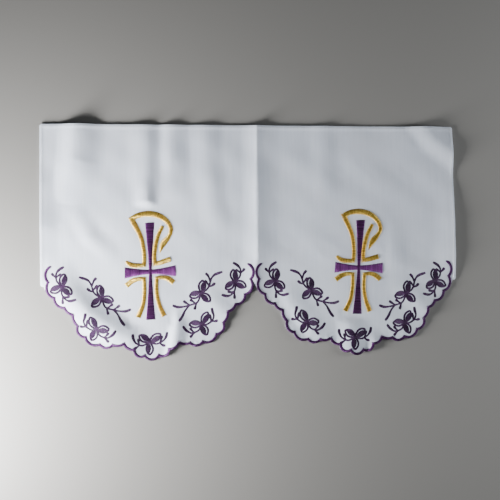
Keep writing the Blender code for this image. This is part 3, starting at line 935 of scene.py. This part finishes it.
@dataclass
class ClothSheet:
    """The white sheet itself, finely faceted on its folds, with its hem and its rounded rim."""

    relief: Relief
    facet: float = 0.0031
    edge_facet: float = 0.00208
    rim_trace: float = 0.0008
    scallop_steps: int = 16
    crease_steps: int = 40
    crease_inset: tuple[float, float] = (0.003, 0.002)
    clearance: float = 0.62
    sharp_angle: float = math.radians(55)

    def build(self, finish: bpy.types.Material) -> bpy.types.Object:
        """Builds the sheet.

        Args:
            finish: The cloth's material.

        Returns:
            The piece.
        """
        flat, faces = self._facets()
        low = self.relief.shape.underside(flat) + self.relief.soft_creases(flat)
        high = self.relief.bed(flat) - self._rim_drop(flat)
        count = len(flat)
        vertices = np.vstack([np.column_stack([flat, high]), np.column_stack([flat, low])])
        solid = faces + [(count + c, count + b, count + a) for a, b, c in faces]
        sides = {(face[i], face[(i + 1) % 3]) for face in faces for i in range(3)}
        solid += [(b, a, count + a, count + b) for a, b in sorted(sides) if (b, a) not in sides]
        mesh = bpy.data.meshes.new("cloth_sheet")
        mesh.from_pydata(vertices.tolist(), [], solid)
        mesh.materials.append(finish)
        mesh.shade_smooth()
        mesh.set_sharp_from_angle(angle=self.sharp_angle)
        return add_object("cloth_sheet", mesh)

    def _facets(self) -> tuple[np.ndarray, list[tuple[int, ...]]]:
        """Divides the sheet into triangles.

        Returns:
            The points, and the triangles as numbers of points.
        """
        shape = self.relief.shape
        outline = shape.outline(self.scallop_steps, self.edge_facet)
        crease = smooth_rows(FOLDS["middle crease"].line, self.crease_steps)[:, :2]
        low_end = shape.shoulder_y - shape.notch_depth + self.crease_inset[0]
        high_end = shape.back_y - self.crease_inset[1]
        crease = crease[(crease[:, 1] < high_end) & (crease[:, 1] > low_end)][::2]
        fixed = np.vstack([outline, crease])
        grid = self._grid(shape)
        near = index_points(fixed)
        inside = grid[self._inside(grid, outline)]
        kept = [p for p in inside if near.find((*p, 0))[2] > self.clearance * self.facet]
        points = [Vector(p) for p in np.vstack([fixed, np.array(kept)])]
        last = len(outline) - 1
        edges = [(i, i + 1) for i in range(last)] + [(last, 0)]
        edges += [(last + 1 + i, last + 2 + i) for i in range(len(crease) - 1)]
        found, _, faces, *_ = delaunay_2d_cdt(points, edges, [], 0, MERGE_DISTANCE, False)
        flat = np.array([(p.x, p.y) for p in found])
        middles = flat[np.array([tuple(face) for face in faces])].mean(axis=1)
        inner = self._inside(middles, outline)
        return flat, [tuple(face) for face, keep in zip(faces, inner) if keep]

    def _grid(self, shape: ClothShape) -> np.ndarray:
        """Lays an even triangular grid over the sheet's box.

        Args:
            shape: The cut of the cloth.

        Returns:
            The grid's points.
        """
        step = self.facet * math.sqrt(3) / 2
        high, wide = math.ceil(shape.back_y / step), math.ceil(shape.side_x / self.facet)
        rows, columns = np.arange(-high, high + 1), np.arange(-wide, wide + 1)
        x = (columns[None, :] + (rows[:, None] % 2) / 2) * self.facet
        y = np.broadcast_to(rows[:, None] * step, x.shape)
        return np.column_stack([x.ravel(), y.ravel()])

    @staticmethod
    def _inside(points: np.ndarray, outline: np.ndarray) -> np.ndarray:
        """Tests which points lie inside a closed outline.

        Args:
            points: The points.
            outline: The outline's points.

        Returns:
            True for each point inside.
        """
        found = np.zeros(len(points), bool)
        for a, b in zip(outline, np.roll(outline, -1, axis=0)):
            if a[1] == b[1]:
                continue
            between = (a[1] > points[:, 1]) != (b[1] > points[:, 1])
            crossing = a[0] + (points[:, 1] - a[1]) / (b[1] - a[1]) * (b[0] - a[0])
            found ^= between & (points[:, 0] < crossing)
        return found

    def _rim_drop(self, points: np.ndarray) -> np.ndarray:
        """Works out how far the sheet's top falls to its thin rim.

        Args:
            points: Places on the cloth.

        Returns:
            The drop at each place.
        """
        tree = index_points(self.relief.shape.outline(self.scallop_steps * 2, self.rim_trace))
        distance = np.array([tree.find((x, y, 0))[2] for x, y in points])
        return self.relief.rim_drop * (1 - smoothstep(distance / self.relief.rim_width))


@dataclass
class Edging:
    """A lobe's raised edging of purple satin stitch, hooked at both ends."""

    needle: Needle
    side: Side
    half_width: float = 0.0025
    outward: float = 0.0006
    end_taper: float = 0.0035
    end_share: float = 0.45
    style: StitchStyle = StitchStyle(pitch=0.00052, thread=0.00034, crown=0.42, crown_limit=0.0009)

    def build(self, finish: bpy.types.Material) -> bpy.types.Object:
        """Sews the edging.

        Args:
            finish: The purple thread.

        Returns:
            The piece.
        """
        shape = self.needle.relief.shape
        line = shape.scallop_line(EDGING_STEPS)
        along = arc_lengths(line)
        swell = smoothstep(np.minimum(along, along[-1] - along) / self.end_taper)
        width = self.half_width * (self.end_share + (1 - self.end_share) * swell)
        middle = line + side_vectors(line) * self.outward
        path = Path.band(shape.on_cloth(middle, self.side), width)
        return self.needle.sew(f"edging_{self.side.word}_stitches", [path], self.style, finish)


# Each stroke's runs: rows of millimetres across and above the crossing, and half the stroke's width.
GOLD_STROKES: dict[str, tuple[Rows, ...]] = {
    "loop": (
        ((-43.5, 21.2, 2), (-37.5, 16, 3.8), (-29, 12.8, 4.5), (-11.4, 12.3, 3.5)),
        ((-10.5, 30.6, 3.7), (-16.1, 63.4, 3.9), (-32.5, 97.7, 4.8)),
        ((-20, 103.9, 4.8), (-2, 105.9, 5.2), (17, 101.6, 4.9), (32, 90.4, 4.1), (38.6, 75.7, 3.7),
         (34.5, 63.4, 3.8), (26.2, 53.1, 5.5), (21.5, 45.3, 3.8), (17.8, 33.4, 0.6)),
    ),
    "upper": (
        ((22.8, 82.1, 3.2), (13, 60, 3.8), (8, 33.5, 3.7), (8.3, 13.7, 3.5)),
        ((21.5, 17, 4.6), (36.5, 21.5, 4.8)),
    ),
    "lower_left": (
        ((-43.2, -23.1, 4.8), (-33, -15.4, 4.6), (-22, -12.2, 3.8), (-11.3, -11.8, 3.2)),
        ((-11, -36.8, 3.5), (-13.9, -59.3, 3.7), (-22.8, -81.4, 4.6)),
    ),
    "lower_right": (
        ((42, -21.3, 4.6), (32.5, -14, 4.6), (22, -11, 3.8), (11.3, -11.8, 3.2)),
        ((11, -36.8, 3.5), (15.2, -59.8, 3.7), (23.9, -81.3, 4.6)),
    ),
}


@dataclass
class Emblem:
    """A lobe's emblem: a flared purple cross and the gold strokes around it."""

    needle: Needle
    place: EmblemPlace
    shaft_above: float = 0.0893
    shaft_below: float = 0.0865
    shaft_waist: float = 0.0028
    shaft_end: float = 0.0087
    arm_length: float = 0.0456
    arm_waist: float = 0.0041
    arm_end: float = 0.0103
    arm_start: float = 0.8
    flare_power: float = 1.5
    limb_points: int = 24
    stroke_steps: int = 8
    cross_style: StitchStyle = StitchStyle(pitch=0.00056, thread=0.00036, crown=0.24, crown_limit=0.0007,
                                           uneven=0.03, seed=21)
    gold_style: StitchStyle = StitchStyle(pitch=0.00054, thread=0.00035, crown=0.33, crown_limit=0.0010,
                                          uneven=0.04, seed=33)

    def _placed(self, points: np.ndarray) -> np.ndarray:
        """Turns and moves places measured from the crossing onto the cloth.

        Args:
            points: The places.

        Returns:
            The places on the cloth.
        """
        turn, place = self.place.turn, self.place
        x, y = points[:, 0], points[:, 1] + place.arm_rise * points[:, 0]
        moved = np.column_stack([
            x * math.cos(turn) - y * math.sin(turn) + place.across,
            x * math.sin(turn) + y * math.cos(turn) - place.drop,
        ])
        return self.needle.relief.shape.on_cloth(moved, place.side)

    def _path(self, points: np.ndarray, across: np.ndarray) -> Path:
        """Makes a path on the cloth from places and half stitches measured from the crossing."""
        middle = self._placed(points)
        return Path(middle, self._placed(points + across) - middle)

    def _limb(self, angle: float, length: float, waist: float, end: float, start: float) -> Path:
        """Draws one flared limb of the cross.

        Args:
            angle: Its direction from the crossing.
            length: Its length.
            waist: Its half width at the crossing.
            end: Its half width at its end.
            start: How far from the crossing it starts.

        Returns:
            Its path.
        """
        reach = np.linspace(start, length, self.limb_points)
        width = waist + (end - waist) * (reach / length) ** self.flare_power
        out = np.array([math.cos(angle), math.sin(angle)])
        across = np.array([out[1], -out[0]])
        return self._path(reach[:, None] * out, width[:, None] * across)

    def _stroke(self, runs: tuple[Rows, ...]) -> Path:
        """Draws a gold stroke's runs, whose stitches turn over through their shared corners.

        Args:
            runs: The stroke's runs, each starting where the one before it ends.

        Returns:
            One path for the whole stroke.
        """
        line, corner = [], ()
        for run in runs:
            line.append(smooth_rows(np.array(corner + run) / MM, self.stroke_steps)[len(corner):])
            corner = run[-1:]
        rows = np.vstack(line)
        across = side_vectors(rows[:, :2]) * rows[:, 2:]
        return self._path(rows[:, :2], across)

    def build(self, purple: bpy.types.Material, gold: bpy.types.Material) -> dict[str, bpy.types.Object]:
        """Sews the emblem.

        Args:
            purple: The cross's thread.
            gold: The strokes' thread.

        Returns:
            The pieces, by the names of the nodes they stand for.
        """
        word, quarter = self.place.side.word, math.pi / 2
        shaft = (self.shaft_waist, self.shaft_end, 0.0)
        arm = (self.arm_length, self.arm_waist, self.arm_end, self.shaft_waist * self.arm_start)
        limbs = [
            self._limb(quarter, self.shaft_above, *shaft), self._limb(-quarter, self.shaft_below, *shaft),
            self._limb(0.0, *arm), self._limb(2 * quarter, *arm),
        ]
        node = f"cross_{word}"
        pieces = {node: self.needle.sew(f"{node}_stitches", limbs, self.cross_style, purple)}
        for name, runs in GOLD_STROKES.items():
            node = f"gold_{name}_{word}"
            stroke = [self._stroke(runs)]
            pieces[node] = self.needle.sew(f"{node}_stitches", stroke, self.gold_style, gold)
        return pieces


@dataclass(frozen=True)
class Sprig:
    """A three-petal sprig with its twigs, measured from its knot in millimetres."""

    petals: Rows
    twigs: tuple[Rows, ...]
    buds: tuple[Rows, ...]


TIP_SPRIG = Sprig(
    petals=((0, -23), (-18.4, 12.5), (20, 14)),
    twigs=(
        ((-2, -2), (-12.6, -6), (-18.9, -4.8)), ((2, -2), (12.1, -3.6), (18.9, -1.8)),
    ),
    buds=(
        ((-18.9, -4.8), (-25.3, 0), (-29.3, 8.3), (-29.6, 14.9)), ((-18.6, -4.5), (-20.4, 6.6)),
        ((-18.6, -5.2), (-23, -8.9), (-28.1, -11.3)),
        ((18.9, -1.8), (25.8, 3), (30.4, 10.1), (31.9, 17)), ((18.6, -1.8), (21, 5), (22.4, 10.7)),
        ((18.6, -2.2), (23, -6), (28.1, -7.4)),
    ),
)
LOW_SPRIG = Sprig(
    petals=((10.8, 21.4), (-22.5, -0.5), (9, -20)),
    twigs=(
        ((-1.8, -3), (-6, -11.4), (-14.2, -15.7)), ((3, -1.9), (10.1, -0.5), (19.3, 5.2)),
    ),
    buds=(
        ((-14.2, -15.7), (-20.5, -15.9), (-29, -10.5), (-34.4, -3.3)),
        ((-14.4, -15.2), (-18.8, -10.5), (-21.6, -6.7)), ((-14.4, -16), (-17.9, -20), (-21.6, -23.8)),
        ((19.3, 5.2), (22, 14), (19.8, 22), (18.6, 28.6)), ((17, 4.4), (16.4, 10), (14.2, 17.2)),
        ((18.6, 5), (24, 4.6), (29, 5.7)),
    ),
)
LONG_SPRIG = Sprig(
    petals=((3.2, 22.8), (-21, -6), (16.1, -15.4)),
    twigs=(
        ((3, 1.7), (10, 5.8), (14.9, 13), (16.9, 21)),
        ((-1.2, -4), (-4.4, -12.5), (-9.2, -18.3), (-22.9, -22.5)),
    ),
    buds=(
        ((16.9, 21), (20.5, 28.4), (26.1, 33.4), (39, 38)), ((16.5, 22.4), (13.3, 30.9), (8.8, 35.9)),
        ((14.9, 13.4), (10.8, 18.3), (6.8, 22.5)), ((15.2, 11.5), (20.5, 13.3), (25.3, 17.5)),
        ((-22.9, -22.5), (-32.5, -24.6), (-43, -25), (-52, -21.9)),
        ((-22.1, -22.6), (-29, -31), (-35, -42.5), (-41, -50.5)),
        ((-21.9, -21.6), (-27.7, -17.5), (-32.5, -14.2)),
        ((-11.5, -18.2), (-16.5, -14.2), (-20.1, -11.7)), ((-9.2, -18.6), (-10.8, -25), (-12.5, -30)),
    ),
)
HIGH_SPRIG = Sprig(
    petals=((-2.7, 22.4), (20.7, -9.3), (-16.8, -13.2)),
    twigs=(
        ((3, 2), (9.4, 9.3), (11.3, 17)), ((1.6, -3.4), (0.8, -12.4), (-1.6, -18.6)),
    ),
    buds=(
        ((11.3, 17), (10.6, 23.5), (6, 30), (-2.3, 35.2)), ((11.4, 16.4), (15.6, 20.1), (18.7, 24)),
        ((11, 16.2), (6.2, 20.1), (2, 22)), ((-1.6, -18.6), (-8, -24.4), (-14.8, -26), (-24.4, -23.6)),
        ((-1.4, -18), (-7.5, -19), (-13.4, -17.6)), ((-1.2, -19), (-0.8, -25), (-0.8, -31)),
    ),
)


SPRIGS = (TIP_SPRIG, LOW_SPRIG, LOW_SPRIG, LONG_SPRIG, LONG_SPRIG, HIGH_SPRIG, HIGH_SPRIG)
# Each sprig's knot: millimetres to the right of the lobe's axis, and below the shoulder.
KNOTS = {
    Side.LEFT: ((-3.7, 140.5), (91.2, 110.1), (-97.6, 114.7), (90.7, 53.4), (-88.8, 59.0),
                (152.7, 34.0), (-157.0, 37.5)),
    Side.RIGHT: ((-3.7, 140.5), (93.9, 116.0), (-93.9, 110.1), (97.1, 60.9), (-84.2, 51.6),
                 (155.0, 38.5), (-151.8, 34.0)),
}


@dataclass
class SprigEmbroidery:
    """All the sprigs of one lobe, in dark purple thread, each mirrored left of the axis but the tip's."""

    needle: Needle
    side: Side
    twig_steps: int = 6
    petal_points: int = 15
    heart_points: int = 9
    knot_points: int = 5
    twig_half: float = 0.0019
    bud_half: float = 0.0028
    petal_half: float = 0.0061
    petal_line: float = 0.0021
    heart_share: float = 0.66
    heart_shift: float = 0.14
    heart_span: tuple[float, float] = (0.14, 0.84)
    heart_lead: float = 0.07
    belly: tuple[float, float] = (1.15, 0.75)
    bud_span: tuple[float, float] = (0.30, 0.70)
    bud_close: float = 0.14
    bud_shrink: float = 0.8
    knot_half: float = 0.0040
    knot_blunt: float = 1.05
    style: StitchStyle = StitchStyle(pitch=0.00085, thread=0.00052, crown=0.18, crown_limit=0.0003,
                                     uneven=0.05, seed=57)

    def _petal(self, tip: np.ndarray, knot: np.ndarray) -> list[Path]:
        """Draws one petal: its outline and the filled heart that leaves a sliver bare.

        Args:
            tip: The petal's tip, measured from the knot.
            knot: The knot's place on the cloth.

        Returns:
            The petal's paths.
        """
        out = tip / float(np.hypot(*tip))
        aside = np.array([out[1], -out[0]])
        share = np.linspace(0, 1, self.petal_points)
        spread = np.sin(math.pi * share ** self.belly[0]) ** self.belly[1] * self.petal_half
        along = share[:, None] * tip
        paths = [Path.band(knot + (along + sign * spread[:, None] * aside), self.petal_line)
                 for sign in (1, -1)]
        span = np.linspace(*self.heart_span, self.heart_points)
        width = np.sin(math.pi * (span - self.heart_lead) / self.heart_span[1])
        middle = knot + span[:, None] * tip + self.heart_shift * self.petal_half * aside
        paths.append(Path(middle, (width * self.petal_half * self.heart_share)[:, None] * aside))
        return paths

    def _twig(self, rows: Rows, knot: np.ndarray, mirror: np.ndarray, bud: bool) -> Path:
        """Draws one twig, which swells into a bud if it ends in one.

        Args:
            rows: Its points, from the knot.
            knot: The knot's place on the cloth.
            mirror: The factors that mirror the sprig.
            bud: Whether it ends in a bud.

        Returns:
            Its path.
        """
        line = smooth_rows(rows, self.twig_steps) / MM * mirror
        share = np.linspace(0, 1, len(line))
        swell = smoothstep((share - self.bud_span[0]) / (self.bud_span[1] - self.bud_span[0]))
        swell *= 1 - self.bud_shrink * smoothstep((share - 1 + self.bud_close) / self.bud_close)
        width = self.twig_half + (self.bud_half - self.twig_half) * swell * bud
        return Path.band(knot + line, width)

    def _paths(self, sprig: Sprig, across: float, below: float) -> list[Path]:
        """Draws one sprig.

        Args:
            sprig: The sprig.
            across: Its knot's place to the right of the lobe's axis, in millimetres.
            below: Its knot's place below the shoulder, in millimetres.

        Returns:
            Its paths.
        """
        mirror = np.array([-1.0 if across < 0 and sprig is not TIP_SPRIG else 1.0, 1.0])
        knot = self.needle.relief.shape.on_cloth(np.array([across, -below]) / MM, self.side)
        paths = []
        for tip in sprig.petals:
            paths += self._petal(np.array(tip) / MM * mirror, knot)
        paths += [self._twig(rows, knot, mirror, False) for rows in sprig.twigs]
        paths += [self._twig(rows, knot, mirror, True) for rows in sprig.buds]
        ends = np.linspace(-1, 1, self.knot_points)
        disc = np.sqrt(self.knot_blunt - ends ** 2) * self.knot_half
        width = self.knot_half * mirror * (1, 0)
        paths.append(Path(knot + ends[:, None] * width, np.column_stack([np.zeros(len(ends)), disc])))
        return paths

    def build(self, finish: bpy.types.Material) -> bpy.types.Object:
        """Sews the lobe's sprigs.

        Args:
            finish: The dark purple thread.

        Returns:
            The piece.
        """
        paths = []
        for sprig, knot in zip(SPRIGS, KNOTS[self.side]):
            paths += self._paths(sprig, *knot)
        return self.needle.sew(f"sprigs_{self.side.word}", paths, self.style, finish)


@dataclass
class HemStitching:
    """The white running stitches that hold the hem along both sides and the back."""

    needle: Needle
    inset: float = 0.0042
    stitch_half: float = 0.00125
    points_per_side: int = 60
    style: StitchStyle = StitchStyle(pitch=0.0031, thread=0.00028, crown=0.16, crown_limit=0.0003,
                                     uneven=0.06, seed=71)

    def build(self, finish: bpy.types.Material) -> bpy.types.Object:
        """Sews the hem.

        Args:
            finish: The white thread.

        Returns:
            The piece.
        """
        shape = self.needle.relief.shape
        low = shape.shoulder_y - shape.notch_depth + 2 * shape.corner_cut
        across, back = shape.side_x - self.inset, shape.back_y - self.inset
        corners = np.array([(-across, low), (-across, back), (across, back), (across, low)])
        paths = []
        for a, b in zip(corners, corners[1:]):
            points = a + (b - a) * np.linspace(0, 1, self.points_per_side)[:, None]
            along = np.tile((b - a) / np.hypot(*(b - a)) * self.stitch_half, (len(points), 1))
            paths.append(Path(points, along))
        return self.needle.sew("hem_stitches", paths, self.style, finish)


@dataclass(frozen=True)
class SoftLight:
    """A square soft light that faces the cloth, with its power in watts."""

    name: str
    at: Place
    size: float
    power: float
    colour: Colour

    def hang(self) -> None:
        """Hangs the light."""
        data = bpy.data.lights.new(self.name, "AREA")
        data.size, data.energy, data.color = self.size, self.power, self.colour
        light = add_object(self.name, data)
        light.location = self.at
        light.rotation_euler = Vector(self.at).to_track_quat("Z", "Y").to_euler()


LIGHTS = (
    SoftLight("key", (-0.75, -0.33, 0.185), size=0.27, power=37.0, colour=(0.955, 0.975, 1.0)),
    SoftLight("side", (1.75, -0.05, 0.36), size=0.60, power=32.0, colour=(0.92, 0.96, 1.0)),
    SoftLight("fill", (-0.6, -0.4, 2.3), size=1.8, power=0.5, colour=(0.85, 0.92, 1.0)),
)


@dataclass
class Studio:
    """The plain floor, the soft lights and the camera above the cloth."""

    distance: float = 1.30
    view_width: float = 0.926
    aim: Place = (-0.0078, -0.0164, 0.0)
    lean: Place = (-0.112, -0.034, 1.0)
    roll: float = math.radians(-0.9)
    floor_reach: float = 6.0
    floor_gap: float = 0.0004
    floor_roughness: float = 0.85
    floor_colour: Colour = (0.26, 0.248, 0.229)
    sky_colour: Colour = (0.74, 0.85, 1.0)
    sky_strength: float = 0.045

    def camera(self) -> None:
        """Sets the camera at the photograph's viewing angle."""
        data = bpy.data.cameras.new("camera")
        data.sensor_width = 36.0
        data.lens = data.sensor_width * self.distance / self.view_width
        camera = add_object("camera", data)
        out = Vector(self.lean).normalized()
        level = Vector((0, 1, 0)).cross(out).normalized()
        right = Matrix.Rotation(self.roll, 3, out) @ level
        pose = Matrix((right, out.cross(right), out)).transposed().to_4x4()
        pose.translation = Vector(self.aim) + out * self.distance
        camera.matrix_world = pose
        bpy.context.scene.camera = camera

    def floor(self) -> None:
        """Lays a plain pale floor under the cloth."""
        mesh = bpy.data.meshes.new("floor")
        corners = [(x * self.floor_reach, y * self.floor_reach, 0)
                   for x, y in ((-1, -1), (1, -1), (1, 1), (-1, 1))]
        mesh.from_pydata(corners, [], [(0, 1, 2, 3)])
        finish = Finish("floor")
        finish.feed(finish.shader, {"Base Color": (*self.floor_colour, 1),
                                    "Roughness": self.floor_roughness})
        mesh.materials.append(finish.material)
        floor = add_object("floor", mesh)
        floor.location.z = -self.floor_gap

    def lights(self) -> None:
        """Lights the cloth from the left and from the right, with a pale fill all round."""
        for light in LIGHTS:
            light.hang()
        world = bpy.data.worlds.new("studio")
        world.use_nodes = True
        background = world.node_tree.nodes["Background"]
        background.inputs["Color"].default_value = (*self.sky_colour, 1)
        background.inputs["Strength"].default_value = self.sky_strength
        bpy.context.scene.world = world


def declare(piece: bpy.types.Object, slot: str, *nodes: str) -> bpy.types.Object:
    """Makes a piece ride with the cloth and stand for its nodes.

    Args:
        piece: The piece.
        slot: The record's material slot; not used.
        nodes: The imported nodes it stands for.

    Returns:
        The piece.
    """
    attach(piece, "root")
    if nodes:
        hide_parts(*nodes)
    LOG.info("%s: %d triangles", piece.name, sum(len(p.vertices) - 2 for p in piece.data.polygons))
    return piece


def main() -> None:
    """Builds the cloth and all that is sewn on it, and sets the light and the camera."""
    logging.basicConfig(level=logging.INFO, format="%(name)s: %(message)s")
    studio = Studio()
    studio.camera()
    studio.floor()
    studio.lights()
    shape = ClothShape()
    relief = Relief(shape)
    needle = Needle(relief)
    white = WhiteCloth().material()
    threads = (CROSS_THREAD, EDGING_THREAD, TWIG_THREAD, GOLD_THREAD, HEM_THREAD)
    purple, edging_purple, twig_purple, gold, hem_white = (thread.material() for thread in threads)

    sheet = declare(ClothSheet(relief).build(white), "white_cloth", "cloth")
    for place in PLACES:
        word = place.side.word
        edging = Edging(needle, place.side).build(edging_purple)
        declare(edging, "purple_thread", f"edging_{word}")
        for node, piece in Emblem(needle, place).build(purple, gold).items():
            slot = "gold_thread" if node.startswith("gold") else "purple_thread"
            declare(piece, slot, node)
        declare(SprigEmbroidery(needle, place.side).build(twig_purple), "purple_thread")
    declare(HemStitching(needle).build(hem_white), "white_cloth")


if __name__ == "__main__":
    main()
